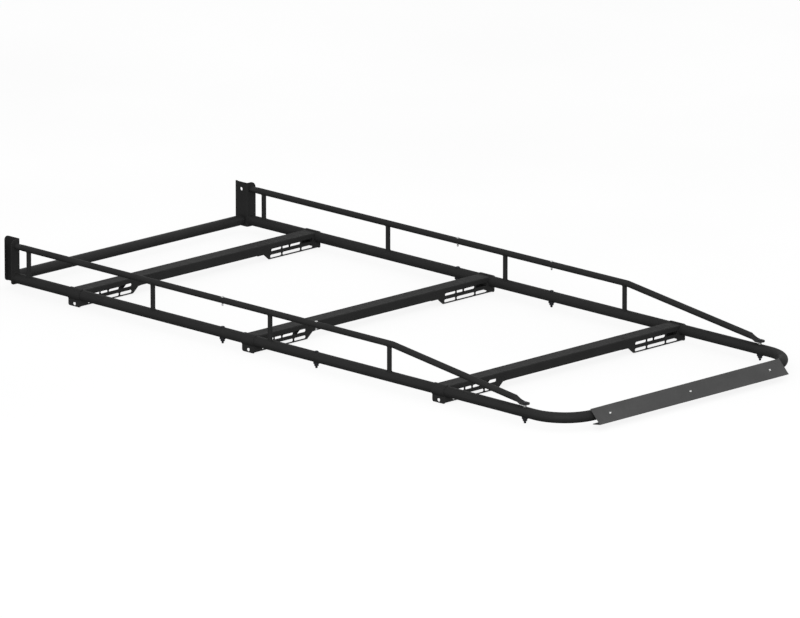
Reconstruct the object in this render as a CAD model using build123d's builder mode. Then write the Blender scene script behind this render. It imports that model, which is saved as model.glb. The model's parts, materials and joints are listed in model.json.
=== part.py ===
from build123d import *
from math import atan, cos, radians, sin, sqrt, tan

# Welded and bolted roof rack for a long van: two side rails that run into one front hoop, three cross
# bars on slotted end brackets, a raised guard rail each side, a loading roller across the rear and a
# wind deflector across the front.
# +X is forward, +Y is the vehicle's left, +Z is up. The origin is the centre of the footprint, at the
# height of the lowest points, which are the lower ends of the six rail saddles.

# ---- driving dimensions, millimetres ----
OVERALL_LENGTH = 3182.0      # rear face of the end plates to the front edge of the deflector
RAIL_GAUGE = 1299.0          # side rail axis to side rail axis
RAIL_Z = 48.0                # side rail axis above the lowest point
GUARD_RISE = 130.0           # guard rail axis above the side rail axis

RAIL_OD = 42.2               # 1.66 inch tube
RAIL_WALL = 2.6
GUARD_OD = 25.4              # 1 inch tube
GUARD_WALL = 2.0
POST_OD = 19.0
POST_WALL = 1.6

PLATE_LENGTH = 71.0          # rear end plate, a channel that opens outboard
PLATE_T = 4.0
PLATE_WEB_Y = 627.4          # inboard face of the web
PLATE_FRONT_FLANGE = 47.6    # width of the flange that closes the rail ends
PLATE_REAR_FLANGE = 19.0
PLATE_BOTTOM = -25.0         # below the rail axis
PLATE_TOP = 157.0            # above the rail axis
PLATE_HOLE_SETBACK = 36.0    # hole in the web, forward of the plate's rear face
PLATE_HOLE_Z = 128.0         # above the rail axis
PLATE_HOLE_R = 7.5
PLATE_BEND_R = 6.0
PLATE_TOP_CORNER_R = 25.0    # front flange, upper outboard corner
PLATE_FOOT_CORNER_R = 12.0   # front flange, lower outboard corner
PLATE_REAR_CORNER_R = 14.0
GUARD_REAR_X = -1483.0       # rear end of the guard rail, short of the end plate

POSTS_X = (-1446.5, -735.5, -76.5, 582.0)
BARS_X = (-1170.0, -184.5, 864.0)
SPLICES_X = (-342.0, 180.5)  # the bolts that hold the bolt-together joints
JOINT_BACK = 35.0            # each tube joint lies this far behind its bolt
JOINT_GAP = 0.5

HOOP_R = 161.0               # centreline radius of the front hoop's two corners

BAR_W = 68.0
BAR_H = 38.1
BAR_TOP = 19.9               # above the rail axis
BAR_WALL = 2.5
BAR_CORNER_R = 4.0
BAR_HALF = 336.0             # half the length of the plain bar between its two end brackets

BRACKET_T = 3.0
BRACKET_DROP = 43.0          # lower edge of the bracket below the rail axis
SLOT_H = 12.5
SLOT_ROWS = (-5.5, -32.0)    # slot centre heights from the rail axis
SLOT_START = 383.0           # inboard end of the first slot, from the rack's centre
SLOT_LENGTHS = (63.0, 100.0, 63.0)
SLOT_BRIDGE = 6.0

SADDLE_T = 3.0
SADDLE_HUG = 0.15            # gap between the saddle and the side rail
SADDLE_CROWN = 97.0          # degrees round the rail where the saddle starts, just past its top
SADDLE_TUCK = -48.0          # degrees round the rail where it leaves the rail again, underneath
SADDLE_BEND_R = 6.0          # mid-thickness radius of the bend down into the tail
SADDLE_CORNER_R = 8.0
SADDLE_HOLE_Z = -36.5
SADDLE_HOLE_R = 8.0

ROLLER_SETBACK = 40.0        # roller axis, forward of the end plates' rear faces
ROLLER_GAP = 9.0             # end plate to roller end
ROLLER_AXLE_R = 6.0
ROLLER_FIT = 0.08            # radial running clearance of the axle in its bush
BUSH_R = 9.0
PLUG_LENGTH = 26.0

DEFLECTOR_HALF = 520.5
DEFLECTOR_T = 3.0
DEFLECTOR_STANDOFF = 29.0    # front tube's axis to the outer face, which slopes at 45 degrees
DEFLECTOR_TOP_X = 10.4       # upper edge, forward of the front tube's axis
DEFLECTOR_FRONT_X = 64.0     # lower front edge
DEFLECTOR_NOSE_R = 1.5
DEFLECTOR_LIP = 42.0
DEFLECTOR_LIP_DROOP = 8.0    # degrees below level, going back
DEFLECTOR_BOLTS_Y = (-441.0, 0.0, 441.0)
DEFLECTOR_BOLT_DOWN = 23.0   # bolts, down the slope from the point nearest the front tube

BEND_X = 599.5               # where the guard rail starts to come down
GUARD_SLOPE = 0.126
BEND_R = 120.0
FLAT_START_X = 1265.0        # the guard tube is pressed flat from here on
FLAT_END_X = 1303.0
TAB_X = 1315.5               # bolt that holds the flattened end
TAB_Z = 33.5                 # middle of the flattened end above the rail axis
TAB_T = 5.0
TAB_W = 37.0

RAIL_BOLT_R = 5.0            # M10
GUARD_BOLT_R = 4.0           # M8
HOLE_PLAY = 0.3              # bolt holes are this much larger in radius
SLEEVE_HALF = 75.0           # joiner sleeves reach this far each side of their joint
SLEEVE_WALL = 2.5
RUN = 4000.0                 # longer than the whole rack

# ---- derived places ----
HALF_GAUGE = RAIL_GAUGE / 2
RAIL_R = RAIL_OD / 2
GUARD_R = GUARD_OD / 2
GUARD_Z = RAIL_Z + GUARD_RISE
PLATE_REAR_X = -OVERALL_LENGTH / 2
NOSE_ANGLE = radians(45 + DEFLECTOR_LIP_DROOP)   # between the face and the lip
NOSE_SETBACK = DEFLECTOR_NOSE_R * (cos(radians(45) - NOSE_ANGLE / 2) / sin(NOSE_ANGLE / 2) - 1)
HOOP_X = OVERALL_LENGTH / 2 - DEFLECTOR_FRONT_X + NOSE_SETBACK
PLATE_FRONT_X = PLATE_REAR_X + PLATE_LENGTH
ROLLER_X = PLATE_REAR_X + ROLLER_SETBACK
ROLLER_HALF = PLATE_WEB_Y - ROLLER_GAP
RAIL_BORE_R = RAIL_R - RAIL_WALL
SLEEVE_R = RAIL_BORE_R - 0.2
GUARD_BORE_R = GUARD_R - GUARD_WALL
GUARD_SLEEVE_R = GUARD_BORE_R - 0.2
JOINTS_X = [x - JOINT_BACK for x in SPLICES_X]
SIDES = {"left": 1, "right": -1}
BAR_NAMES = ("rear", "middle", "front")


def save(part, name):
    """Label a finished piece and write it to its own STEP file."""
    part.label = name
    export_step(part, f"parts/{name}.step")


def across(x, side, v, z):
    """Plane that faces outboard on one side, with its own x along the vehicle and y up."""
    return Plane(origin=(x, side * v, RAIL_Z + z), x_dir=(-side, 0, 0), z_dir=(0, side, 0))


def side_view(x, side):
    """Plane at a station, with x outboard from the rack's centre and y up from the rail axis."""
    return Plane(origin=(x, 0, RAIL_Z), x_dir=(0, side, 0), z_dir=(side, 0, 0))


def level(x, y, z):
    """Horizontal plane facing up."""
    return Plane(origin=(x, y, z), x_dir=(1, 0, 0), z_dir=(0, 0, 1))


def forward(x, y, z):
    """Upright plane facing forward, with its own x along +Y and y up."""
    return Plane(origin=(x, y, z), x_dir=(0, 1, 0), z_dir=(1, 0, 0))


def disc(plane, radius, height, mode=Mode.ADD):
    """Round bar on a plane, in the current part."""
    with BuildSketch(plane) as profile:
        Circle(radius)
    extrude(profile.sketch, amount=height, mode=mode)


def hexagon(plane, across_flats, height):
    """Hexagonal bar on a plane, in the current part."""
    with BuildSketch(plane) as profile:
        RegularPolygon(across_flats / 2, 6, major_radius=False)
    extrude(profile.sketch, amount=height)


def drill(x, y, z, radius, length):
    """Vertical hole centred on a point, in the current part."""
    disc(level(x, y, z - length / 2), radius, length, Mode.SUBTRACT)


def cope(y, z, radius):
    """Takes a rail's cylinder out of the current part, so that the part is coped to that rail."""
    disc(forward(-RUN / 2, y, z), radius, RUN, Mode.SUBTRACT)


def cope_to_rails():
    """Copes the current part to both side rails."""
    for s in SIDES.values():
        cope(s * HALF_GAUGE, RAIL_Z, RAIL_R)


def straight_tube(x0, x1, y, z, radius, wall):
    """Round tube along X, in the current part."""
    with BuildSketch(forward(x0, y, z)) as profile:
        Circle(radius)
        Circle(radius - wall, mode=Mode.SUBTRACT)
    extrude(profile.sketch, amount=x1 - x0)


def bolt_hole(x, y, z, bolt_r):
    """Vertical clearance hole for a bolt through a rail, in the current part."""
    drill(x, y, z, bolt_r + HOLE_PLAY, 2 * RAIL_OD)


# ---- side rails, rear and middle lengths ----
for side_name, side in SIDES.items():
    y = side * HALF_GAUGE
    with BuildPart() as side_rail_rear:
        straight_tube(PLATE_FRONT_X, JOINTS_X[0], y, RAIL_Z, RAIL_R, RAIL_WALL)
    save(side_rail_rear.part, f"side_rail_rear_{side_name}")

    with BuildPart() as side_rail_middle:
        straight_tube(JOINTS_X[0] + JOINT_GAP, JOINTS_X[1], y, RAIL_Z, RAIL_R, RAIL_WALL)
        bolt_hole(SPLICES_X[0], y, RAIL_Z, RAIL_BOLT_R)
    save(side_rail_middle.part, f"side_rail_middle_{side_name}")

# ---- front hoop: the front length of both side rails and the front cross tube, bent from one tube ----
hoop_start = JOINTS_X[1] + JOINT_GAP
with BuildPart() as front_hoop:
    with BuildLine(level(0, 0, RAIL_Z)) as hoop_line:
        FilletPolyline(
            (hoop_start, HALF_GAUGE),
            (HOOP_X, HALF_GAUGE),
            (HOOP_X, -HALF_GAUGE),
            (hoop_start, -HALF_GAUGE),
            radius=HOOP_R,
        )
    with BuildSketch(forward(hoop_start, HALF_GAUGE, RAIL_Z)):
        Circle(RAIL_R)
        Circle(RAIL_BORE_R, mode=Mode.SUBTRACT)
    sweep(path=hoop_line.wire())
    for side in SIDES.values():
        bolt_hole(SPLICES_X[1], side * HALF_GAUGE, RAIL_Z, RAIL_BOLT_R)
        bolt_hole(TAB_X, side * HALF_GAUGE, RAIL_Z, RAIL_BOLT_R)
save(front_hoop.part, "front_hoop")

# ---- joiner sleeves inside the bolt-together joints ----
with BuildPart() as rail_sleeves:
    for joint_x, bolt_x in zip(JOINTS_X, SPLICES_X):
        for side in SIDES.values():
            y = side * HALF_GAUGE
            start, end = joint_x - SLEEVE_HALF, joint_x + SLEEVE_HALF
            straight_tube(start, end, y, RAIL_Z, SLEEVE_R, SLEEVE_WALL)
            bolt_hole(bolt_x, y, RAIL_Z, RAIL_BOLT_R)
save(rail_sleeves.part, "rail_sleeves")

with BuildPart() as guard_sleeves:
    for joint_x, bolt_x in zip(JOINTS_X, SPLICES_X):
        for side in SIDES.values():
            y = side * HALF_GAUGE
            start, end = joint_x - SLEEVE_HALF, joint_x + SLEEVE_HALF
            straight_tube(start, end, y, GUARD_Z, GUARD_SLEEVE_R, SLEEVE_WALL)
            bolt_hole(bolt_x, y, GUARD_Z, GUARD_BOLT_R)
save(guard_sleeves.part, "guard_sleeves")

# ---- guard rails ----
slope_angle = atan(GUARD_SLOPE)
flat_start_z = GUARD_Z - GUARD_SLOPE * (FLAT_START_X - BEND_X)

for side_name, side in SIDES.items():
    y = side * HALF_GAUGE
    with BuildPart() as guard_rail_rear:
        straight_tube(GUARD_REAR_X, JOINTS_X[0], y, GUARD_Z, GUARD_R, GUARD_WALL)
    save(guard_rail_rear.part, f"guard_rail_rear_{side_name}")

    with BuildPart() as guard_rail_middle:
        straight_tube(JOINTS_X[0] + JOINT_GAP, JOINTS_X[1], y, GUARD_Z, GUARD_R, GUARD_WALL)
        bolt_hole(SPLICES_X[0], y, GUARD_Z, GUARD_BOLT_R)
    save(guard_rail_middle.part, f"guard_rail_middle_{side_name}")

    # The front length runs level, comes down towards the side rail, and ends pressed flat in a tab.
    upright = Plane(origin=(0, y, 0), x_dir=(1, 0, 0), z_dir=(0, -1, 0))
    with BuildPart() as guard_rail_front:
        with BuildLine(upright) as guard_line:
            FilletPolyline(
                (JOINTS_X[1] + JOINT_GAP, GUARD_Z),
                (BEND_X, GUARD_Z),
                (FLAT_START_X, flat_start_z),
                radius=BEND_R,
            )
        with BuildSketch(forward(JOINTS_X[1] + JOINT_GAP, y, GUARD_Z)):
            Circle(GUARD_R)
            Circle(GUARD_BORE_R, mode=Mode.SUBTRACT)
        sweep(path=guard_line.wire())
        with BuildSketch(
            Plane(
                origin=(FLAT_START_X, y, flat_start_z),
                x_dir=(0, 1, 0),
                z_dir=(cos(slope_angle), 0, -sin(slope_angle)),
            )
        ):
            Circle(GUARD_R)
        with BuildSketch(forward(FLAT_END_X, y, RAIL_Z + TAB_Z)):
            SlotOverall(TAB_W, TAB_T)
        loft()
        with BuildSketch(level(0, y, RAIL_Z + TAB_Z - TAB_T / 2)):
            with Locations((TAB_X, 0)):
                Circle(TAB_W / 2)
            with Locations(((FLAT_END_X + TAB_X) / 2, 0)):
                Rectangle(TAB_X - FLAT_END_X, TAB_W)
        extrude(amount=TAB_T)
        bolt_hole(SPLICES_X[1], y, GUARD_Z, GUARD_BOLT_R)
        bolt_hole(TAB_X, y, RAIL_Z + TAB_Z, RAIL_BOLT_R)
    save(guard_rail_front.part, f"guard_rail_front_{side_name}")

# ---- posts between side rail and guard rail, coped to both ----
for number, x in enumerate(POSTS_X, start=1):
    for side_name, side in SIDES.items():
        y = side * HALF_GAUGE
        with BuildPart() as post:
            with BuildSketch(level(x, y, RAIL_Z)):
                Circle(POST_OD / 2)
                Circle(POST_OD / 2 - POST_WALL, mode=Mode.SUBTRACT)
            extrude(amount=GUARD_RISE)
            cope(y, RAIL_Z, RAIL_R)
            cope(y, GUARD_Z, GUARD_R)
        save(post.part, f"post_{number}_{side_name}")

# ---- cross bars ----
for name, x in zip(BAR_NAMES, BARS_X):
    with BuildPart() as cross_bar:
        with BuildSketch(across(x, 1, -BAR_HALF, BAR_TOP - BAR_H / 2)):
            RectangleRounded(BAR_W, BAR_H, BAR_CORNER_R)
            offset(amount=-BAR_WALL, mode=Mode.SUBTRACT)
        extrude(amount=2 * BAR_HALF)
    save(cross_bar.part, f"cross_bar_{name}")

# ---- slotted end brackets, inverted channels that carry the bars to the side rails ----
CHIN_TOP = (346.0, BAR_TOP - BAR_H)      # where the lower edge leaves the bar's underside
CHIN_FOOT = (375.5, -BRACKET_DROP)       # where it reaches the bracket's full depth
CHIN_R = 6.0
CHANNEL_DEPTH = 100.0                    # deeper than any bracket
SADDLE_IN = RAIL_R + SADDLE_HUG
SADDLE_OUT = SADDLE_IN + SADDLE_T
SADDLE_MID = (SADDLE_IN + SADDLE_OUT) / 2


def round_rail(radius, angle):
    """Point at an angle round the side rail, outboard from the rack's centre and up."""
    return (HALF_GAUGE + radius * cos(radians(angle)), radius * sin(radians(angle)))


bend_centre = round_rail(SADDLE_MID + SADDLE_BEND_R, SADDLE_TUCK)
TAIL_IN = bend_centre[0] - SADDLE_BEND_R - SADDLE_T / 2     # inboard face of the saddle's tail
WALL_END = TAIL_IN - SADDLE_HUG                             # the bracket's walls stop just short

slots = []
edge = SLOT_START
for slot_length in SLOT_LENGTHS:
    slots.append((edge + slot_length / 2, slot_length))
    edge += slot_length + SLOT_BRIDGE

for name, x in zip(BAR_NAMES, BARS_X):
    for side_name, side in SIDES.items():
        with BuildPart() as end_bracket:
            with BuildSketch(side_view(x, side)):
                with BuildLine():
                    Polyline(
                        (BAR_HALF, BAR_TOP),
                        (HALF_GAUGE, BAR_TOP),
                        (WALL_END, 0),
                        (WALL_END, -BRACKET_DROP),
                        CHIN_FOOT,
                        CHIN_TOP,
                        (BAR_HALF, BAR_TOP - BAR_H),
                        close=True,
                    )
                make_face()
                fillet(vertices().sort_by_distance(CHIN_FOOT)[0], CHIN_R)
            extrude(amount=BAR_W / 2, both=True)
            top_edges = end_bracket.edges().filter_by(Axis.Y).group_by(Axis.Z)[-1]
            fillet(top_edges, BAR_CORNER_R)
            with BuildSketch(across(x, side, BAR_HALF, BAR_TOP - BRACKET_T - CHANNEL_DEPTH / 2)):
                Rectangle(BAR_W - 2 * BRACKET_T, CHANNEL_DEPTH)
                fillet(vertices().group_by(Axis.Y)[-1], BAR_CORNER_R - BRACKET_T)
            extrude(amount=BAR_HALF, mode=Mode.SUBTRACT)
            with BuildSketch(side_view(x, side)):
                for v, slot_length in slots:
                    with Locations(*[(v, z) for z in SLOT_ROWS]):
                        SlotOverall(slot_length, SLOT_H)
            extrude(amount=BAR_W, both=True, mode=Mode.SUBTRACT)
            cope(side * HALF_GAUGE, RAIL_Z, SADDLE_IN)
        save(end_bracket.part, f"end_bracket_{name}_{side_name}")

# ---- rail saddles: straps that run over each side rail, tuck in under it and end in a tail ----
crown_to_tuck = (SADDLE_CROWN, (SADDLE_CROWN + SADDLE_TUCK) / 2, SADDLE_TUCK)
tuck_to_tail = (180 + SADDLE_TUCK, 180 + SADDLE_TUCK / 2, 180)


def round_bend(radius, angle):
    """Point at an angle round the centre of the bend between the saddle's arc and its tail."""
    v, z = bend_centre
    return (v + radius * cos(radians(angle)), z + radius * sin(radians(angle)))


def saddle_face(rail_radius, bend_radius):
    """One face of the strap as a run of lines, from the rail's crown to the strap's lower end."""
    ThreePointArc(*[round_rail(rail_radius, angle) for angle in crown_to_tuck])
    ThreePointArc(*[round_bend(bend_radius, angle) for angle in tuck_to_tail])
    tail_start = round_bend(bend_radius, 180)
    Line(tail_start, (tail_start[0], -RAIL_Z))
    return round_rail(rail_radius, SADDLE_CROWN), (tail_start[0], -RAIL_Z)


for name, x in zip(BAR_NAMES, BARS_X):
    for side_name, side in SIDES.items():
        with BuildPart() as rail_saddle:
            with BuildSketch(side_view(x, side)):
                with BuildLine():
                    outer_start, outer_end = saddle_face(SADDLE_OUT, SADDLE_BEND_R - SADDLE_T / 2)
                    inner_start, inner_end = saddle_face(SADDLE_IN, SADDLE_BEND_R + SADDLE_T / 2)
                    Line(outer_start, inner_start)
                    Line(outer_end, inner_end)
                make_face()
            extrude(amount=BAR_W / 2, both=True)
            lower_end = rail_saddle.faces().sort_by(Axis.Z)[0]
            fillet(lower_end.edges().sort_by(Axis.X)[0::3], SADDLE_CORNER_R)
            disc(across(x, side, TAIL_IN, SADDLE_HOLE_Z), SADDLE_HOLE_R, SADDLE_T, Mode.SUBTRACT)
        save(rail_saddle.part, f"rail_saddle_{name}_{side_name}")

# ---- rear end plates ----
AXLE_HOLE_R = ROLLER_AXLE_R + 0.2
GUARD_END_BOLT_R = 5.0       # M10, holds the guard rail's rear end to the plate
plate_hole_x = PLATE_REAR_X + PLATE_HOLE_SETBACK
plate_bottom_z = RAIL_Z + PLATE_BOTTOM
plate_back = PLATE_WEB_Y + PLATE_T       # outboard face of the web


def plate_corner(x, v, side):
    """The vertex of the plate's flat outline that is nearest to a place."""
    return vertices().sort_by_distance((x, side * v, plate_bottom_z))[0]


def round_lip(plate, lip, end, radius):
    """Rounds the corner of a flange's free edge, at its lower end (0) or its upper end (-1)."""
    edges = [e for e in plate.edges().filter_by(Axis.X) if abs(abs(e.center().Y) - lip) < 1]
    fillet(ShapeList(edges).sort_by(Axis.Z)[end], radius)


for side_name, side in SIDES.items():
    front_lip = PLATE_WEB_Y + PLATE_FRONT_FLANGE
    rear_lip = PLATE_WEB_Y + PLATE_REAR_FLANGE
    with BuildPart() as end_plate:
        with BuildSketch(level(0, 0, plate_bottom_z)):
            with BuildLine():
                Polyline(
                    (PLATE_FRONT_X, side * front_lip),
                    (PLATE_FRONT_X, side * PLATE_WEB_Y),
                    (PLATE_REAR_X, side * PLATE_WEB_Y),
                    (PLATE_REAR_X, side * rear_lip),
                    (PLATE_REAR_X + PLATE_T, side * rear_lip),
                    (PLATE_REAR_X + PLATE_T, side * plate_back),
                    (PLATE_FRONT_X - PLATE_T, side * plate_back),
                    (PLATE_FRONT_X - PLATE_T, side * front_lip),
                    close=True,
                )
            make_face()
            fillet(plate_corner(PLATE_FRONT_X, PLATE_WEB_Y, side), PLATE_BEND_R)
            fillet(plate_corner(PLATE_REAR_X, PLATE_WEB_Y, side), PLATE_BEND_R)
            fillet(plate_corner(PLATE_FRONT_X - PLATE_T, plate_back, side), PLATE_BEND_R - PLATE_T)
            fillet(plate_corner(PLATE_REAR_X + PLATE_T, plate_back, side), PLATE_BEND_R - PLATE_T)
        extrude(amount=PLATE_TOP - PLATE_BOTTOM)
        round_lip(end_plate, front_lip, -1, PLATE_TOP_CORNER_R)
        round_lip(end_plate, front_lip, 0, PLATE_FOOT_CORNER_R)
        round_lip(end_plate, rear_lip, -1, PLATE_REAR_CORNER_R)
        round_lip(end_plate, rear_lip, 0, PLATE_REAR_CORNER_R)
        disc(across(ROLLER_X, side, PLATE_WEB_Y, 0), AXLE_HOLE_R, PLATE_T, Mode.SUBTRACT)
        disc(across(plate_hole_x, side, PLATE_WEB_Y, PLATE_HOLE_Z), PLATE_HOLE_R, PLATE_T, Mode.SUBTRACT)
        guard_hole = forward(PLATE_FRONT_X - PLATE_T, side * HALF_GAUGE, GUARD_Z)
        disc(guard_hole, GUARD_END_BOLT_R + HOLE_PLAY, PLATE_T, Mode.SUBTRACT)
    save(end_plate.part, f"end_plate_{side_name}")

# ---- rear ends of the guard rails: plug in the tube, rubber collar, bolt from behind the plate ----
COLLAR_R = 12.0
GUARD_PLUG_LENGTH = 15.0
END_HEAD_FLATS = 16.0
END_HEAD_H = 6.4
guard_ends = [forward(0, s * HALF_GAUGE, GUARD_Z) for s in SIDES.values()]

with BuildPart() as guard_end_plugs:
    for plane in guard_ends:
        start = plane.offset(GUARD_REAR_X)
        disc(start, GUARD_BORE_R, GUARD_PLUG_LENGTH)
        disc(start, GUARD_END_BOLT_R, GUARD_PLUG_LENGTH, Mode.SUBTRACT)
save(guard_end_plugs.part, "guard_end_plugs")

with BuildPart() as guard_end_collars:
    for plane in guard_ends:
        start = plane.offset(PLATE_FRONT_X)
        disc(start, COLLAR_R, GUARD_REAR_X - PLATE_FRONT_X)
        disc(start, GUARD_END_BOLT_R, GUARD_REAR_X - PLATE_FRONT_X, Mode.SUBTRACT)
save(guard_end_collars.part, "guard_end_collars")

with BuildPart() as guard_end_bolts:
    for plane in guard_ends:
        head_face = PLATE_FRONT_X - PLATE_T
        hexagon(plane.offset(head_face - END_HEAD_H), END_HEAD_FLATS, END_HEAD_H)
        disc(plane.offset(head_face), GUARD_END_BOLT_R, GUARD_REAR_X + GUARD_PLUG_LENGTH - head_face)
save(guard_end_bolts.part, "guard_end_bolts")

# ---- rear loading roller ----
PLUG_FLANGE_T = 2.0
PLUG_TOTAL = PLUG_LENGTH + PLUG_FLANGE_T
PLUG_START = ROLLER_HALF - PLUG_LENGTH
with BuildPart() as roller_tube:
    with BuildSketch(across(ROLLER_X, 1, -ROLLER_HALF, 0)):
        Circle(RAIL_R)
        Circle(RAIL_BORE_R, mode=Mode.SUBTRACT)
    extrude(amount=2 * ROLLER_HALF)
save(roller_tube.part, "roller_tube")

for side_name, side in SIDES.items():
    plug_plane = across(ROLLER_X, side, PLUG_START, 0)
    with BuildPart() as roller_plug:
        disc(plug_plane, RAIL_BORE_R, PLUG_LENGTH)
        disc(across(ROLLER_X, side, ROLLER_HALF, 0), RAIL_R, PLUG_FLANGE_T)
        disc(plug_plane, BUSH_R, PLUG_TOTAL, Mode.SUBTRACT)
    save(roller_plug.part, f"roller_plug_{side_name}")

    with BuildPart() as roller_bush:
        disc(plug_plane, BUSH_R, PLUG_TOTAL)
        disc(plug_plane, ROLLER_AXLE_R + ROLLER_FIT, PLUG_TOTAL, Mode.SUBTRACT)
    save(roller_bush.part, f"roller_bush_{side_name}")

AXLE_REACH = 34.0            # axle bolt, from the outboard face of the end plate's web
AXLE_HEAD_H = 7.5
AXLE_FLATS = 19.0
WASHER_R = 14.0
WASHER_T = 2.0
JAM_NUT_T = 4.5
jam_nut_v = PLATE_WEB_Y - WASHER_T - JAM_NUT_T
with BuildPart() as roller_axles:
    for side in SIDES.values():
        disc(across(ROLLER_X, side, plate_back - AXLE_REACH, 0), ROLLER_AXLE_R, AXLE_REACH)
        hexagon(across(ROLLER_X, side, plate_back, 0), AXLE_FLATS, AXLE_HEAD_H)
save(roller_axles.part, "roller_axles")

with BuildPart() as roller_jam_nuts:
    for side in SIDES.values():
        hexagon(across(ROLLER_X, side, jam_nut_v, 0), AXLE_FLATS, JAM_NUT_T)
        disc(across(ROLLER_X, side, jam_nut_v, 0), ROLLER_AXLE_R, JAM_NUT_T, Mode.SUBTRACT)
save(roller_jam_nuts.part, "roller_jam_nuts")

with BuildPart() as roller_washers:
    for side in SIDES.values():
        washer_plane = across(ROLLER_X, side, PLATE_WEB_Y - WASHER_T, 0)
        disc(washer_plane, WASHER_R, WASHER_T)
        disc(washer_plane, ROLLER_AXLE_R, WASHER_T, Mode.SUBTRACT)
save(roller_washers.part, "roller_washers")

# ---- wind deflector, the lugs that carry it and its bolts ----
DEFLECTOR_BOLT_R = 3.0       # M6
BUTTON_R = 5.25
BUTTON_H = 3.3
LUG_W = 30.0
LUG_UP = 6.0                 # the lugs reach this far up the slope, over the front tube
LUG_DOWN = 34.0              # and this far down it
LUG_BACK = 20.0              # their back faces, out from the front tube's axis
LUG_CORNER_R = 5.0
DEFLECTOR_NUT_FLATS = 10.0
DEFLECTOR_NUT_H = 4.5
DEFLECTOR_BOLT_TIP = 12.5    # out from the front tube's axis
FACE_NORMAL = (sin(radians(45)), 0, cos(radians(45)))


def on_face(y, distance, down=0.0):
    """Plane square to the deflector's slope: a distance out from the front tube, and down the slope."""
    n = FACE_NORMAL
    reach = distance * n[0] + down * n[0]
    rise = distance * n[2] - down * n[2]
    return Plane(origin=(HOOP_X + reach, y, RAIL_Z + rise), x_dir=(0, 1, 0), z_dir=n)


face_sum = DEFLECTOR_STANDOFF * sqrt(2)  # forward plus up, anywhere on the outer face
droop = radians(DEFLECTOR_LIP_DROOP)
with BuildPart() as wind_deflector:
    with BuildSketch(across(HOOP_X, 1, -DEFLECTOR_HALF, 0)):
        top = (-DEFLECTOR_TOP_X, face_sum - DEFLECTOR_TOP_X)
        front = (-DEFLECTOR_FRONT_X, face_sum - DEFLECTOR_FRONT_X)
        lip = (front[0] + DEFLECTOR_LIP * cos(droop), front[1] - DEFLECTOR_LIP * sin(droop))
        thickness_in = (DEFLECTOR_T * sin(droop), DEFLECTOR_T * cos(droop))
        face_in = (DEFLECTOR_T / sqrt(2), -DEFLECTOR_T / sqrt(2))
        bend_in = DEFLECTOR_T / tan(NOSE_ANGLE / 2)
        elbow = (
            front[0] + bend_in * cos(droop) + thickness_in[0],
            front[1] - bend_in * sin(droop) + thickness_in[1],
        )
        with BuildLine():
            Polyline(
                top,
                front,
                lip,
                (lip[0] + thickness_in[0], lip[1] + thickness_in[1]),
                elbow,
                (top[0] + face_in[0], top[1] + face_in[1]),
                close=True,
            )
        make_face()
    extrude(amount=2 * DEFLECTOR_HALF)
    nose = wind_deflector.edges().filter_by(Axis.Y).sort_by(Axis.X)[-1]
    fillet(nose, DEFLECTOR_NOSE_R)
    for y in DEFLECTOR_BOLTS_Y:
        hole_start = on_face(y, RAIL_R, DEFLECTOR_BOLT_DOWN)
        disc(hole_start, DEFLECTOR_BOLT_R + HOLE_PLAY, DEFLECTOR_STANDOFF, Mode.SUBTRACT)
save(wind_deflector.part, "wind_deflector")

lug_front = DEFLECTOR_STANDOFF - DEFLECTOR_T
with BuildPart() as deflector_lugs:
    for y in DEFLECTOR_BOLTS_Y:
        with BuildSketch(on_face(y, LUG_BACK, (LUG_DOWN - LUG_UP) / 2)) as lug_profile:
            RectangleRounded(LUG_W, LUG_UP + LUG_DOWN, LUG_CORNER_R)
        extrude(lug_profile.sketch, amount=lug_front - LUG_BACK)
        hole_start = on_face(y, LUG_BACK, DEFLECTOR_BOLT_DOWN)
        disc(hole_start, DEFLECTOR_BOLT_R + HOLE_PLAY, lug_front - LUG_BACK, Mode.SUBTRACT)
    disc(across(HOOP_X, 1, -DEFLECTOR_HALF, 0), RAIL_R, 2 * DEFLECTOR_HALF, Mode.SUBTRACT)
save(deflector_lugs.part, "deflector_lugs")

with BuildPart() as deflector_bolts:
    for y in DEFLECTOR_BOLTS_Y:
        disc(on_face(y, DEFLECTOR_STANDOFF, DEFLECTOR_BOLT_DOWN), BUTTON_R, BUTTON_H)
    rims = [e for e in deflector_bolts.edges() if e.geom_type == GeomType.CIRCLE]
    fillet(ShapeList(rims).sort_by(Axis.Z)[-len(DEFLECTOR_BOLTS_Y):], BUTTON_H / 2)
    for y in DEFLECTOR_BOLTS_Y:
        shank_start = on_face(y, DEFLECTOR_BOLT_TIP, DEFLECTOR_BOLT_DOWN)
        disc(shank_start, DEFLECTOR_BOLT_R, DEFLECTOR_STANDOFF - DEFLECTOR_BOLT_TIP)
save(deflector_bolts.part, "deflector_bolts")

with BuildPart() as deflector_nuts:
    for y in DEFLECTOR_BOLTS_Y:
        nut_start = on_face(y, LUG_BACK - DEFLECTOR_NUT_H, DEFLECTOR_BOLT_DOWN)
        hexagon(nut_start, DEFLECTOR_NUT_FLATS, DEFLECTOR_NUT_H)
        disc(nut_start, DEFLECTOR_BOLT_R, DEFLECTOR_NUT_H, Mode.SUBTRACT)
save(deflector_nuts.part, "deflector_nuts")

# ---- bolts through the side rail joints and through the guard rails' flattened ends ----
HEAD_R = 9.0
HEAD_H = 4.5                 # domed head above the side rail
HEAD_SKIRT = 3.0             # the head's curved underside reaches this far down the tube
HEAD_ROUND = 3.0
TIP_DROP = 44.0              # lower ends of the bolts, below the rail axis
CUP_WASHER_R = 12.5
CUP_WASHER_H = 5.0
NUT_FLATS = 16.0
NUT_H = 9.0
GUARD_HEAD_R = 6.5
GUARD_HEAD_H = 2.5
GUARD_TIP = 10.0             # the guard rail's bolts reach this far below it
TAB_HEAD_H = 4.5
TAB_HEAD_ROUND = 2.0
SPACER_R = 6.5

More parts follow.
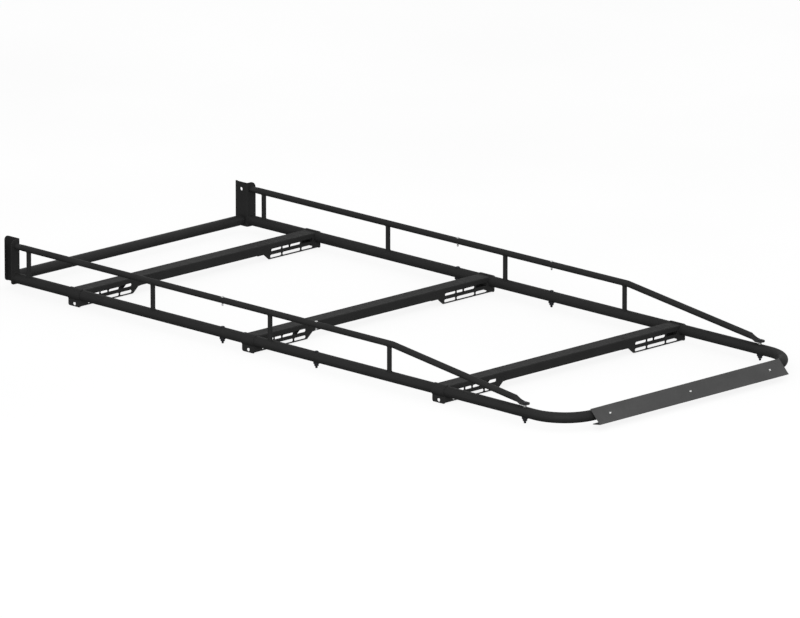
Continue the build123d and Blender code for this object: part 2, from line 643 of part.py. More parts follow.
joint_bolts = [(x, s * HALF_GAUGE) for x in SPLICES_X for s in SIDES.values()]
tab_places = [(TAB_X, s * HALF_GAUGE) for s in SIDES.values()]
tab_top = RAIL_Z + TAB_Z + TAB_T / 2
tab_underside = RAIL_Z + TAB_Z - TAB_T / 2
tip_z = RAIL_Z - TIP_DROP
washer_z = RAIL_Z - RAIL_R - CUP_WASHER_H

with BuildPart() as rail_splice_bolts:
    for x, y in joint_bolts:
        disc(level(x, y, RAIL_Z + RAIL_R - HEAD_SKIRT), HEAD_R, HEAD_H + HEAD_SKIRT)
    fillet(rail_splice_bolts.edges().group_by(Axis.Z)[-1], HEAD_ROUND)
    cope_to_rails()
    for x, y in joint_bolts:
        disc(level(x, y, tip_z), RAIL_BOLT_R, RAIL_Z + RAIL_R + HEAD_H / 2 - tip_z)
save(rail_splice_bolts.part, "rail_splice_bolts")

with BuildPart() as rail_cup_washers:
    for x, y in joint_bolts + tab_places:
        disc(level(x, y, washer_z), CUP_WASHER_R, CUP_WASHER_R)
        bolt_hole(x, y, washer_z, RAIL_BOLT_R)
    cope_to_rails()
save(rail_cup_washers.part, "rail_cup_washers")

with BuildPart() as rail_nuts:
    for x, y in joint_bolts + tab_places:
        hexagon(level(x, y, washer_z - NUT_H), NUT_FLATS, NUT_H)
        disc(level(x, y, washer_z - NUT_H), RAIL_BOLT_R, NUT_H, Mode.SUBTRACT)
save(rail_nuts.part, "rail_nuts")

with BuildPart() as guard_splice_bolts:
    for x, y in joint_bolts:
        disc(level(x, y, GUARD_Z + GUARD_R - GUARD_HEAD_H), GUARD_HEAD_R, 2 * GUARD_HEAD_H)
    fillet(guard_splice_bolts.edges().group_by(Axis.Z)[-1], GUARD_HEAD_H * 0.8)
    for s in SIDES.values():
        cope(s * HALF_GAUGE, GUARD_Z, GUARD_R)
    for x, y in joint_bolts:
        start_z = GUARD_Z - GUARD_R - GUARD_TIP
        disc(level(x, y, start_z), GUARD_BOLT_R, GUARD_Z + GUARD_R + GUARD_HEAD_H / 2 - start_z)
save(guard_splice_bolts.part, "guard_splice_bolts")

with BuildPart() as tab_bolts:
    for x, y in tab_places:
        disc(level(x, y, tab_top), HEAD_R, TAB_HEAD_H)
        disc(level(x, y, tip_z), RAIL_BOLT_R, tab_top - tip_z)
    fillet(tab_bolts.edges().group_by(Axis.Z)[-1], TAB_HEAD_ROUND)
save(tab_bolts.part, "tab_bolts")

with BuildPart() as tab_spacers:
    for x, y in tab_places:
        disc(level(x, y, RAIL_Z + RAIL_R / 2), SPACER_R, tab_underside - RAIL_Z - RAIL_R / 2)
        bolt_hole(x, y, tab_underside, RAIL_BOLT_R)
    cope_to_rails()
save(tab_spacers.part, "tab_spacers")
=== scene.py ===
import json
from math import ceil, cos, pi, radians, sin, sqrt, tan

import bmesh
import bpy
from mathutils import Matrix, Vector


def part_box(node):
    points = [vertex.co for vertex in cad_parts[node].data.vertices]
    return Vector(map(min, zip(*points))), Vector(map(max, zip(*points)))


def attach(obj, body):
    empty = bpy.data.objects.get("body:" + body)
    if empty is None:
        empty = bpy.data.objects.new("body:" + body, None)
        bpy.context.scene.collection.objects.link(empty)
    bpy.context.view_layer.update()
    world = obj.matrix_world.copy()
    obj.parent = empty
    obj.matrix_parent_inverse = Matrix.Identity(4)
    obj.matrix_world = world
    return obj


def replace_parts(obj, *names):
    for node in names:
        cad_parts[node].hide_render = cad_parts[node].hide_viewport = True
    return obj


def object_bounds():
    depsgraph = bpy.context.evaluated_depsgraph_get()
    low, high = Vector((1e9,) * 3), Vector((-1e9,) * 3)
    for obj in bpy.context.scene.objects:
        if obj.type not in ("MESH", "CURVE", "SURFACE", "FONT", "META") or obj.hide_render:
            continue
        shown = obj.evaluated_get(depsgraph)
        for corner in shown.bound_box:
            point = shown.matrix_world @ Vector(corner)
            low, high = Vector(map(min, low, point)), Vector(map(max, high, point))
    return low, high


# Roof cargo basket: the looks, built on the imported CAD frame. Metres, +X forward, +Z up.

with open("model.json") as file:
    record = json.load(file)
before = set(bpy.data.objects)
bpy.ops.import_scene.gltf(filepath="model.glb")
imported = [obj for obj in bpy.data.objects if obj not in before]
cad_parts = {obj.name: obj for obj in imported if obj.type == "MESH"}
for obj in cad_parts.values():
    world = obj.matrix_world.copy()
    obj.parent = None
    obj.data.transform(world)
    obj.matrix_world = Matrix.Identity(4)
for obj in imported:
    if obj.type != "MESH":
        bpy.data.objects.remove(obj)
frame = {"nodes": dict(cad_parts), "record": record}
cad_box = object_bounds()
MM = 0.001
FRAME_BODY = "rack_frame"

# ---- camera, at the photograph's viewing angle ----
VIEW_AZIMUTH = radians(45.19)
VIEW_ELEVATION = radians(14.89)
VIEW_ROLL = radians(-0.03)
VIEW_DISTANCE = 48.52
LENS = 558.0                 # millimetres on a 36 mm sensor
AIM = (0.0398, -0.0533, 0.1018)

# ---- weld beads ----
WELD_PITCH = 2.4 * MM        # spacing of the ripples along a bead
RIPPLE = 0.10                # height of a ripple, as a share of the bead's radius
BEAD_STEP = 0.8 * MM         # spacing of the points along a bead
RAIL_WELD = 1.7 * MM         # radii of the beads: along the saddle straps' edges
STRAP_WELD = 2.0 * MM        # across the upper end of each strap
BRACKET_WELD = 1.5 * MM      # across the end of each bracket's top
POST_WELD = 1.9 * MM
PLATE_WELD = 2.4 * MM
LUG_WELD = 2.4 * MM
BAR_WELD = 1.4 * MM

STRAP_TOP = 97               # degrees round the side rail where a strap's upper end lies
STRAP_BEADS = (-30, 94)      # the beads along its edges run between these angles
STRAP_INSET = 1.0 * MM       # how far a cross bead stops short of the strap's edges
BRACKET_INSET = 5.0 * MM
BAR_INSET = 0.8 * MM         # the bead round a bar's end lies this far inside its outline
BAR_CORNER_R = 3.2 * MM
LUG_INSET = 2.0 * MM         # a lug's bead stops short of its ends, and sits as deep in the tube
LUG_SEAM_DROP = 9.0 * MM     # from the lug's middle line down to its lower seam

# ---- fasteners ----
RAIL_BOLT_R = 5.0 * MM       # shank radii
GUARD_BOLT_R = 4.0 * MM
FACE_BOLT_R = 3.0 * MM
AXLE_R = 6.0 * MM
COARSE_PITCH = 1.5 * MM      # thread pitches
FACE_PITCH = 1.0 * MM
RAIL_HEAD = (7.5 * MM, 4.0 * MM)     # domed heads: full height, and height of the crown
TAB_HEAD = (4.5 * MM, 3.0 * MM)
GUARD_HEAD = (4.5 * MM, 2.2 * MM)
GUARD_THREAD_IN = 1.0 * MM   # the guard bolts' thread starts this far inside the tube
FACE_HEAD_R = 5.25 * MM      # the deflector's button heads
FACE_HEAD_H = 3.3 * MM
FACE_SOCKET = 4.0 * MM       # across the socket's flats
FACE_SOCKET_DEPTH = 2.0 * MM
FACE_SHANK = 16.5 * MM
AXLE_FLATS = 19.0 * MM
AXLE_HEAD_H = 7.5 * MM
AXLE_BEVEL = (0.8 * MM, 1.0 * MM)    # at the axle's inner end, across and along it
PLATE_BOLT_FLATS = 16.0 * MM         # the guard rails' rear end bolts
PLATE_BOLT_HEAD_H = 6.4 * MM

# ---- studio ----
FLOOR_R = 70
FLOOR_GAP = 0.5 * MM         # the floor lies this far under the lowest point


# ---------------------------------------------------------------- places, from the frame
def middle(name):
    """Centre of a CAD node's box."""
    low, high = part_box(name)
    return (low + high) / 2


def solids(name):
    """The box of each separate solid in a CAD node, in order along X and then Y."""
    bm = bmesh.new()
    bm.from_mesh(frame["nodes"][name].data)
    bmesh.ops.remove_doubles(bm, verts=bm.verts, dist=1e-6)
    left = set(bm.verts)
    boxes = []
    while left:
        found = [left.pop()]
        low = found[0].co.copy()
        high = found[0].co.copy()
        while found:
            vertex = found.pop()
            low = Vector(map(min, low, vertex.co))
            high = Vector(map(max, high, vertex.co))
            for link in vertex.link_edges:
                other = link.other_vert(vertex)
                if other in left:
                    left.remove(other)
                    found.append(other)
        boxes.append((low, high))
    bm.free()
    return sorted(boxes, key=lambda b: (round(b[0].x, 3), b[0].y))


rail_low, rail_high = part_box("side_rail_rear_left")
RAIL_R = (rail_high.z - rail_low.z) / 2
RAIL_Y = (rail_high.y + rail_low.y) / 2
RAIL_Z = (rail_high.z + rail_low.z) / 2
PLATE_FRONT_X = rail_low.x
guard_low, guard_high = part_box("guard_rail_rear_left")
GUARD_R = (guard_high.z - guard_low.z) / 2
GUARD_Z = (guard_high.z + guard_low.z) / 2
SIDES = {"left": 1, "right": -1}
BAR_NAMES = ("rear", "middle", "front")


# ---------------------------------------------------------------- materials
def start_material(name):
    """A new material, its node tree and its shader."""
    material = bpy.data.materials.new(name)
    material.use_nodes = True
    tree = material.node_tree
    return material, tree, tree.nodes["Principled BSDF"]


def node(tree, kind, **values):
    """A shader node, with its properties and input values set."""
    made = tree.nodes.new(kind)
    for key, value in values.items():
        if hasattr(made, key):
            setattr(made, key, value)
        else:
            made.inputs[key.replace("_", " ")].default_value = value
    return made


def noise(tree, scale, detail=2.0, rough=0.5):
    """Noise in the object's own coordinates; scale is features per metre."""
    place = node(tree, "ShaderNodeTexCoord")
    made = node(tree, "ShaderNodeTexNoise", Scale=scale, Detail=detail, Roughness=rough)
    tree.links.new(place.outputs["Object"], made.inputs["Vector"])
    return made.outputs["Fac"]


def spread(tree, value, low, high, start=0.3, end=0.7):
    """Maps a value from the range start to end onto the range low to high."""
    made = node(tree, "ShaderNodeMapRange")
    made.inputs["From Min"].default_value = start
    made.inputs["From Max"].default_value = end
    made.inputs["To Min"].default_value = low
    made.inputs["To Max"].default_value = high
    tree.links.new(value, made.inputs["Value"])
    return made.outputs["Result"]


def mixed(tree, factor, colour_a, colour_b):
    """Colour between two colours; either may be a socket."""
    made = node(tree, "ShaderNodeMix", data_type="RGBA")
    for index, colour in ((6, colour_a), (7, colour_b)):
        if isinstance(colour, tuple):
            made.inputs[index].default_value = (*colour, 1.0)
        else:
            tree.links.new(colour, made.inputs[index])
    tree.links.new(factor, made.inputs[0])
    return made.outputs[2]


def edge_mask(tree, radius):
    """1 along sharp edges, 0 on faces: how far the rounded normal leans away from the true one."""
    rounded = node(tree, "ShaderNodeBevel", samples=6, Radius=radius)
    true = node(tree, "ShaderNodeNewGeometry")
    dot = node(tree, "ShaderNodeVectorMath", operation="DOT_PRODUCT")
    tree.links.new(rounded.outputs["Normal"], dot.inputs[0])
    tree.links.new(true.outputs["Normal"], dot.inputs[1])
    mask = spread(tree, dot.outputs["Value"], 1.0, 0.0, start=0.75, end=0.97)
    return mask, rounded.outputs["Normal"]


def powder_coat(name, colour, roughness, gloss=0.07, depth=0.05):
    """Textured powder coat: fine orange peel, uneven sheen, faint dust, and edges painted lighter, partly
    as rubbed wear and partly as a painted edge highlight.
    """
    material, tree, shader = start_material(name)
    edge_wear_and_highlight, rounded = edge_mask(tree, 0.7 * MM)
    dust = spread(tree, noise(tree, 9.0, 4.0, 0.6), 0.0, 0.55)
    dusty = tuple(c * 1.35 + 0.0008 for c in colour)
    # Edges are painted lighter in patches: partly rubbed wear, partly a painted highlight along the edges.
    worn_and_highlit_edge_colour = tuple(c * 1.9 + 0.003 for c in colour)
    base = mixed(tree, dust, colour, dusty)
    patchy_edge_wear_and_highlight = node(tree, "ShaderNodeMath", operation="MULTIPLY")
    tree.links.new(edge_wear_and_highlight, patchy_edge_wear_and_highlight.inputs[0])
    tree.links.new(spread(tree, noise(tree, 160.0, 3.0), 0.25, 1.0), patchy_edge_wear_and_highlight.inputs[1])
    tree.links.new(mixed(tree, patchy_edge_wear_and_highlight.outputs[0], base, worn_and_highlit_edge_colour), shader.inputs["Base Color"])
    sheen = spread(tree, noise(tree, 45.0, 3.0), roughness - 0.05, roughness + 0.06)
    tree.links.new(sheen, shader.inputs["Roughness"])
    shader.inputs["Specular IOR Level"].default_value = gloss
    peel = node(tree, "ShaderNodeBump", Strength=depth, Distance=0.0006)
    tree.links.new(noise(tree, 850.0, 3.0, 0.55), peel.inputs["Height"])
    tree.links.new(rounded, peel.inputs["Normal"])
    tree.links.new(peel.outputs["Normal"], shader.inputs["Normal"])
    return material


def plated(name, colour, roughness, tint):
    """Plated steel: bright or black zinc with faint cloudy tints and fine drawing marks."""
    material, tree, shader = start_material(name)
    clouds = spread(tree, noise(tree, 220.0, 3.0), 0.0, 1.0)
    tree.links.new(mixed(tree, clouds, colour, tint), shader.inputs["Base Color"])
    shader.inputs["Metallic"].default_value = 1.0
    marks = spread(tree, noise(tree, 900.0, 2.0), roughness - 0.07, roughness + 0.1)
    tree.links.new(marks, shader.inputs["Roughness"])
    _, rounded = edge_mask(tree, 0.3 * MM)
    scratch = node(tree, "ShaderNodeBump", Strength=0.06, Distance=0.0002)
    tree.links.new(noise(tree, 2400.0, 2.0), scratch.inputs["Height"])
    tree.links.new(rounded, scratch.inputs["Normal"])
    tree.links.new(scratch.outputs["Normal"], shader.inputs["Normal"])
    return material


def moulded(name, colour, roughness):
    """Moulded plastic: a fine spark-eroded grain and a slightly uneven gloss."""
    material, tree, shader = start_material(name)
    shade = spread(tree, noise(tree, 60.0, 3.0), 0.0, 1.0)
    lighter = tuple(min(1.0, c * 1.18 + 0.002) for c in colour)
    tree.links.new(mixed(tree, shade, colour, lighter), shader.inputs["Base Color"])
    gloss = spread(tree, noise(tree, 300.0, 2.0), roughness - 0.06, roughness + 0.06)
    tree.links.new(gloss, shader.inputs["Roughness"])
    grain = node(tree, "ShaderNodeBump", Strength=0.12, Distance=0.0003)
    tree.links.new(noise(tree, 1800.0, 2.0), grain.inputs["Height"])
    tree.links.new(grain.outputs["Normal"], shader.inputs["Normal"])
    return material


MATERIALS = {
    "black_powder_coat": powder_coat("black_powder_coat", (0.0205, 0.0205, 0.0205), 0.52),
    # The deflector is a lighter copy of the black coat: the extra lightness is painted light, standing in
    # for the light that its sloping face catches.
    "deflector_powder_coat": powder_coat("deflector_powder_coat", (0.0642, 0.0642, 0.0642), 0.55),
    "roller_powder_coat": powder_coat(
        "roller_powder_coat", (0.018, 0.018, 0.018), 0.42, gloss=0.16, depth=0.02
    ),
    "bare_steel": plated("bare_steel", (0.42, 0.42, 0.43), 0.35, (0.36, 0.36, 0.37)),
    "zinc_plated_steel": plated("zinc_plated_steel", (0.70, 0.71, 0.74), 0.28, (0.62, 0.62, 0.58)),
    "black_zinc": plated("black_zinc", (0.045, 0.045, 0.048), 0.42, (0.030, 0.032, 0.038)),
    "black_nylon": moulded("black_nylon", (0.012, 0.012, 0.013), 0.5),
    "black_rubber": moulded("black_rubber", (0.007, 0.007, 0.007), 0.7),
    "bush_plastic": moulded("bush_plastic", (0.72, 0.70, 0.62), 0.45),
}

NODE_SLOTS = {s["node"]: s["material_slot"] for s in frame["record"]["subparts"]}
for name, cad in frame["nodes"].items():
    for slot in cad.material_slots:
        slot.material = MATERIALS[NODE_SLOTS[name]]


# ---------------------------------------------------------------- mesh helpers
def finished(bm, name, slot, body=FRAME_BODY, smooth=True):
    """Turns a bmesh into a piece that rides on a body and wears a slot's material."""
    bmesh.ops.recalc_face_normals(bm, faces=bm.faces)
    mesh = bpy.data.meshes.new(name)
    bm.to_mesh(mesh)
    bm.free()
    if smooth:
        mesh.shade_smooth()
    piece = bpy.data.objects.new(name, mesh)
    bpy.context.scene.collection.objects.link(piece)
    mesh.materials.append(MATERIALS[slot])
    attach(piece, body)
    return piece


def skin(bm, rings, cap=True, loop=False):
    """Quads between rings of points with the same count; cap closes the two ends, loop joins them."""
    rows = [[bm.verts.new(p) for p in ring] for ring in rings]
    count = len(rows[0])
    pairs = list(zip(rows, rows[1:]))
    if loop:
        pairs.append((rows[-1], rows[0]))
    for a, b in pairs:
        for i in range(count):
            j = (i + 1) % count
            bm.faces.new((a[i], a[j], b[j], b[i]))
    if cap and not loop:
        bm.faces.new(rows[0])
        bm.faces.new(rows[-1])


def frame_at(origin, axis):
    """Matrix that puts local +Z along an axis, at a place."""
    return Matrix.Translation(origin) @ Vector(axis).to_track_quat("Z", "Y").to_matrix().to_4x4()


def turned(bm, place, profile, sides=40):
    """A turned form: profile is a run of (radius, height) from one end to the other."""
    rings = []
    for radius, height in profile:
        angles = [2 * pi * i / sides for i in range(sides)]
        rings.append([place @ Vector((radius * cos(a), radius * sin(a), height)) for a in angles])
    skin(bm, rings)


def weld_bead(bm, path, radius, closed=True):
    """A rippled bead along a run of points; an open bead tapers at its two ends."""
    count = len(path)
    sides = 8
    run = 0.0
    across = None
    rings = []
    for i, point in enumerate(path):
        before = path[i - 1] if closed or i > 0 else point
        after = path[(i + 1) % count] if closed or i < count - 1 else point
        along = (after - before).normalized()
        if across is None:
            across = along.orthogonal().normalized()
        else:
            across = (across - along * across.dot(along)).normalized()
        third = along.cross(across)
        if i:
            run += (point - path[i - 1]).length
        swell = radius * (1 + RIPPLE * sin(2 * pi * run / WELD_PITCH))
        if not closed:
            steps_in = min(i, count - 1 - i)
            swell *= min(1.0, 0.25 + 0.25 * steps_in)
        ring = []
        for k in range(sides):
            angle = 2 * pi * k / sides
            ring.append(point + (across * cos(angle) + third * sin(angle)) * swell)
        rings.append(ring)
    skin(bm, rings, cap=not closed, loop=closed)


def hex_radius(angle, flats):
    """Distance from a hexagon's centre to its side at an angle."""
    sector = (angle + pi / 6) % (pi / 3) - pi / 6
    return flats / 2 / cos(sector)


def hex_body(bm, place, flats, height, bore, sides=72):
    """A hexagon nut or head with chamfered corners and, where bore is above 0, a countersunk hole."""
    chamfer_r = flats / 2 * 0.97
    slope = tan(radians(30))
    sink = 0.16 * bore
    rings = []
    angles = [2 * pi * i / sides for i in range(sides)]

    def ring(radius_of, height_of):
        points = []
        for a in angles:
            r = radius_of(a)
            points.append(place @ Vector((r * cos(a), r * sin(a), height_of(a))))
        return points

    def drop(a):
        return max(0.0, hex_radius(a, flats) - chamfer_r) * slope

    if bore > 0:
        rings.append(ring(lambda a: bore, lambda a: sink))
        rings.append(ring(lambda a: bore + sink, lambda a: 0.0))
    rings.append(ring(lambda a: chamfer_r, lambda a: 0.0))
    rings.append(ring(lambda a: hex_radius(a, flats), drop))
    rings.append(ring(lambda a: hex_radius(a, flats), lambda a: height - drop(a)))
    rings.append(ring(lambda a: chamfer_r, lambda a: height))
    if bore > 0:
        rings.append(ring(lambda a: bore + sink, lambda a: height))
        rings.append(ring(lambda a: bore, lambda a: height - sink))
    skin(bm, rings, cap=bore <= 0, loop=bore > 0)


def threaded(bm, place, radius, length, pitch, sides=24, steps=8):
    """A threaded shank from local z = 0 up to its tapered end at z = length."""
    depth = 0.54 * pitch
    taper = 0.14
    rows = ceil(length / pitch * steps)
    rings = []
    for i in range(rows + 1):
        z = length * i / rows
        runout = min(1.0, (length - z) / pitch)
        ring = []
        for k in range(sides):
            turn = (z / pitch - k / sides) % 1
            groove = 1 - abs(2 * turn - 1)
            r = (radius - depth * min(1.0, 1.5 * groove)) * (1 - taper + taper * runout)
            angle = 2 * pi * k / sides
            ring.append(place @ Vector((r * cos(angle), r * sin(angle), z)))
        rings.append(ring)
    skin(bm, rings)


# ---------------------------------------------------------------- welds
def saddle_ring(x, y, axis_z, pipe_r, post_r, up):
    """Where a post's outside meets a rail, as a closed run of points."""
    count = max(24, ceil(2 * pi * post_r / BEAD_STEP))
    points = []
    for i in range(count):
        a = 2 * pi * i / count
        dy = post_r * sin(a)
        z = axis_z + up * sqrt(max(0.0, pipe_r**2 - dy**2))
        points.append(Vector((x + post_r * cos(a), y + dy, z)))
    return points


def post_welds():
    """A bead round each post, on the side rail and on the guard rail."""
    bm = bmesh.new()
    for number in range(1, 5):
        for side_name in SIDES:
            name = f"post_{number}_{side_name}"
            low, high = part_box(name)
            place = middle(name)
            post_r = (high.x - low.x) / 2
            weld_bead(bm, saddle_ring(place.x, place.y, RAIL_Z, RAIL_R, post_r, 1), POST_WELD)
            weld_bead(bm, saddle_ring(place.x, place.y, GUARD_Z, GUARD_R, post_r, -1), POST_WELD)
    finished(bm, "post_weld_beads", "black_powder_coat")


def circle(centre, radius, axis):
    """Points round a circle about an axis."""
    count = ceil(2 * pi * radius / BEAD_STEP)
    turn = frame_at(centre, axis)
    angles = [2 * pi * i / count for i in range(count)]
    return [turn @ Vector((radius * cos(a), radius * sin(a), 0)) for a in angles]


def plate_welds():
    """A bead round each side rail, where it meets its end plate."""
    bm = bmesh.new()
    for side in SIDES.values():
        weld_bead(bm, circle((PLATE_FRONT_X, side * RAIL_Y, RAIL_Z), RAIL_R, (1, 0, 0)), PLATE_WELD)
    finished(bm, "end_plate_weld_beads", "black_powder_coat")


def around_rail(x, y, side, start, end):
    """Points on the side rail's skin at a station, from one angle to another, outboard being 0."""
    count = ceil(RAIL_R * radians(end - start) / BEAD_STEP)
    points = []
    for i in range(count + 1):
        a = radians(start + (end - start) * i / count)
        points.append(Vector((x, y + side * RAIL_R * cos(a), RAIL_Z + RAIL_R * sin(a))))
    return points


def saddle_welds():
    """The beads along both edges of each saddle's strap, round the outer side of the rail."""
    bm = bmesh.new()
    for bar in BAR_NAMES:
        for side_name, side in SIDES.items():
            low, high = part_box(f"rail_saddle_{bar}_{side_name}")
            for x in (low.x, high.x):
                path = around_rail(x, side * RAIL_Y, side, *STRAP_BEADS)
                weld_bead(bm, path, RAIL_WELD, closed=False)
    finished(bm, "rail_saddle_weld_beads", "black_powder_coat")


def straight(start, end):
    """Points along a straight run."""
    start, end = Vector(start), Vector(end)
    count = max(2, ceil((end - start).length / BEAD_STEP))
    return [start.lerp(end, i / count) for i in range(count + 1)]


def bracket_welds():
    """The seams across each side rail: at the end of the bracket's top, and at the strap's upper end."""
    bm = bmesh.new()
    for bar in BAR_NAMES:
        for side_name, side in SIDES.items():
            low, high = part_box(f"rail_saddle_{bar}_{side_name}")
            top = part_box(f"end_bracket_{bar}_{side_name}")[1].z
            seam = RAIL_Y - sqrt(RAIL_R**2 - (top - RAIL_Z) ** 2)
            strap_end = RAIL_Y + RAIL_R * cos(radians(STRAP_TOP))
            beads = (
                (seam, top, BRACKET_INSET, BRACKET_WELD),
                (strap_end, RAIL_Z + RAIL_R, STRAP_INSET, STRAP_WELD),
            )
            for y, z, inset, radius in beads:
                path = straight((low.x + inset, side * y, z), (high.x - inset, side * y, z))
                weld_bead(bm, path, radius, closed=False)
    finished(bm, "bracket_weld_beads", "black_powder_coat")


def rounded_outline(x, y, z, width, height, radius):
    """Points round a bar's rounded section, in the X-Z plane at a station across the rack."""
    points = []
    steps = 8
    for cx, cz, turn in ((1, 1, 0), (-1, 1, 1), (-1, -1, 2), (1, -1, 3)):
        for i in range(steps + 1):
            a = (turn + i / steps) * pi / 2
            px = x + cx * (width / 2 - radius) + radius * cos(a)
            pz = z + cz * (height / 2 - radius) + radius * sin(a)
            points.append(Vector((px, y, pz)))
    dense = []
    for a, b in zip(points, points[1:] + points[:1]):
        dense.extend(straight(a, b)[:-1])
    return dense


def bar_welds():
    """A bead round each end of each cross bar."""
    bm = bmesh.new()
    for bar in BAR_NAMES:
        low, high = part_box(f"cross_bar_{bar}")
        centre = (low + high) / 2
        width = high.x - low.x - 2 * BAR_INSET
        height = high.z - low.z - 2 * BAR_INSET
        for y in (low.y, high.y):
            outline = rounded_outline(centre.x, y, centre.z, width, height, BAR_CORNER_R)
            weld_bead(bm, outline, BAR_WELD)
    finished(bm, "cross_bar_weld_beads", "black_powder_coat")


# ---------------------------------------------------------------- fasteners
DOWN = (0, 0, -1)
UP = (0, 0, 1)


def rail_nuts():
    """The nuts under the side rail joints."""
    bm = bmesh.new()
    for low, high in solids("rail_nuts"):
        centre = (low + high) / 2
        flats = min(high.x - low.x, high.y - low.y)
        hex_body(bm, frame_at((centre.x, centre.y, low.z), UP), flats, high.z - low.z, RAIL_BOLT_R)
    piece = finished(bm, "rail_hex_nuts", "black_zinc", smooth=False)
    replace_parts(piece, "rail_nuts")


def bolt_through(bm, low, high, head, shank_r, thread_from):
    """A vertical bolt: its turned head, a plain shank and a threaded lower end."""
    centre = (low + high) / 2
    turned(bm, frame_at((centre.x, centre.y, high.z), DOWN), head)
    neck = head[-1][1]
    plain = high.z - neck - thread_from
    turned(bm, frame_at((centre.x, centre.y, thread_from), UP), [(shank_r, 0), (shank_r, plain)])
    place = frame_at((centre.x, centre.y, thread_from), DOWN)
    threaded(bm, place, shank_r, thread_from - low.z, COARSE_PITCH)


def dome(radius, height, crown):
    """Profile of a domed head from the middle of its crown down to its rim."""
    tip_r = radius * 0.02
    steps = 8
    points = []
    for i in range(1, steps + 1):
        a = i / steps * pi / 2
        points.append((radius * sin(a), crown * (1 - cos(a))))
    return [(tip_r, 0)] + points + [(radius, height)]


def rail_bolts():
    """The bolts down through the side rail joints and through the guard rails' flattened ends."""
    bm = bmesh.new()
    nut_top = solids("rail_nuts")[0][1].z
    for low, high in solids("rail_splice_bolts"):
        head = dome((high.x - low.x) / 2, *RAIL_HEAD)
        bolt_through(bm, low, high, head, RAIL_BOLT_R, nut_top)
    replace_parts(finished(bm, "rail_joint_bolts", "black_zinc"), "rail_splice_bolts")
    bm = bmesh.new()
    for low, high in solids("tab_bolts"):
        head = dome((high.x - low.x) / 2, *TAB_HEAD)
        bolt_through(bm, low, high, head, RAIL_BOLT_R, nut_top)
    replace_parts(finished(bm, "guard_tab_bolts", "black_zinc"), "tab_bolts")


def guard_bolts():
    """The small bolts down through the guard rail joints."""
    bm = bmesh.new()
    for low, high in solids("guard_splice_bolts"):
        head = dome((high.x - low.x) / 2, *GUARD_HEAD)
        bolt_through(bm, low, high, head, GUARD_BOLT_R, GUARD_Z - GUARD_R + GUARD_THREAD_IN)
    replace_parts(finished(bm, "guard_joint_bolts", "zinc_plated_steel"), "guard_splice_bolts")


def socket_head(bm, place, radius, height, socket, depth):
    """A button head with a hexagon socket sunk in its crown, seen along local +Z."""
    sides = 48
    steps = 8
    rim = 0.18               # share of the height that is the head's straight side
    flat = 0.48              # share of the radius that is the crown's flat top
    angles = [2 * pi * i / sides for i in range(sides)]
    profile = [(radius * 0.985, 0.0), (radius, height * rim)]
    for i in range(1, steps):
        a = i / steps * pi / 2
        r = radius * (flat + (1 - flat) * cos(a))
        profile.append((r, height * (rim + (1 - rim) * sin(a))))
    profile.append((radius * 0.5, height))
    rings = [[place @ Vector((r * cos(a), r * sin(a), z)) for a in angles] for r, z in profile]
    for z in (height, height - depth):
        ring = []
        for a in angles:
            r = hex_radius(a, socket)
            ring.append(place @ Vector((r * cos(a), r * sin(a), z)))
        rings.append(ring)
    skin(bm, rings)


def deflector_bolts():
    """The three button-head bolts in the deflector's sloping face."""
    bm = bmesh.new()
    axis = Vector((1, 0, 1)).normalized()
    out = max(v.co.dot(axis) for v in frame["nodes"]["deflector_bolts"].data.vertices)
    for low, high in solids("deflector_bolts"):
        centre = (low + high) / 2
        seat = centre + axis * (out - centre.dot(axis) - FACE_HEAD_H)
        place = frame_at(seat, axis)
        socket_head(bm, place, FACE_HEAD_R, FACE_HEAD_H, FACE_SOCKET, FACE_SOCKET_DEPTH)
        threaded(bm, frame_at(seat, -axis), FACE_BOLT_R, FACE_SHANK, FACE_PITCH)
    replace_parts(finished(bm, "deflector_button_bolts", "zinc_plated_steel"), "deflector_bolts")


def roller_axles():
    """The roller's two axle bolts, headed outside the end plates, and their jam nuts inside."""
    bm = bmesh.new()
    for low, high in solids("roller_axles"):
        centre = (low + high) / 2
        side = 1 if centre.y > 0 else -1
        outer = high.y if side > 0 else low.y
        base = (centre.x, outer - side * AXLE_HEAD_H, centre.z)
        hex_body(bm, frame_at(base, (0, side, 0)), AXLE_FLATS, AXLE_HEAD_H, 0)
        shank = high.y - low.y - AXLE_HEAD_H
        across, along = AXLE_BEVEL
        profile = [(AXLE_R, 0), (AXLE_R, shank - along), (AXLE_R - across, shank)]
        turned(bm, frame_at(base, (0, -side, 0)), profile)
    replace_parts(finished(bm, "roller_axle_bolts", "zinc_plated_steel", smooth=False), "roller_axles")
    bm = bmesh.new()
    for low, high in solids("roller_jam_nuts"):
        centre = (low + high) / 2
        place = frame_at((centre.x, low.y, centre.z), (0, 1, 0))
        hex_body(bm, place, AXLE_FLATS, high.y - low.y, AXLE_R)
    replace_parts(finished(bm, "roller_hex_jam_nuts", "zinc_plated_steel", smooth=False), "roller_jam_nuts")


def guard_end_bolts():
    """The bolts from behind, into the guard rails' rear ends."""
    bm = bmesh.new()
    for low, high in solids("guard_end_bolts"):
        centre = (low + high) / 2
        head_place = frame_at((low.x, centre.y, centre.z), (1, 0, 0))
        hex_body(bm, head_place, PLATE_BOLT_FLATS, PLATE_BOLT_HEAD_H, 0)
        place = frame_at((low.x + PLATE_BOLT_HEAD_H, centre.y, centre.z), (1, 0, 0))
        threaded(bm, place, RAIL_BOLT_R, high.x - low.x - PLATE_BOLT_HEAD_H, COARSE_PITCH)
    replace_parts(finished(bm, "guard_end_hex_bolts", "black_zinc", smooth=False), "guard_end_bolts")


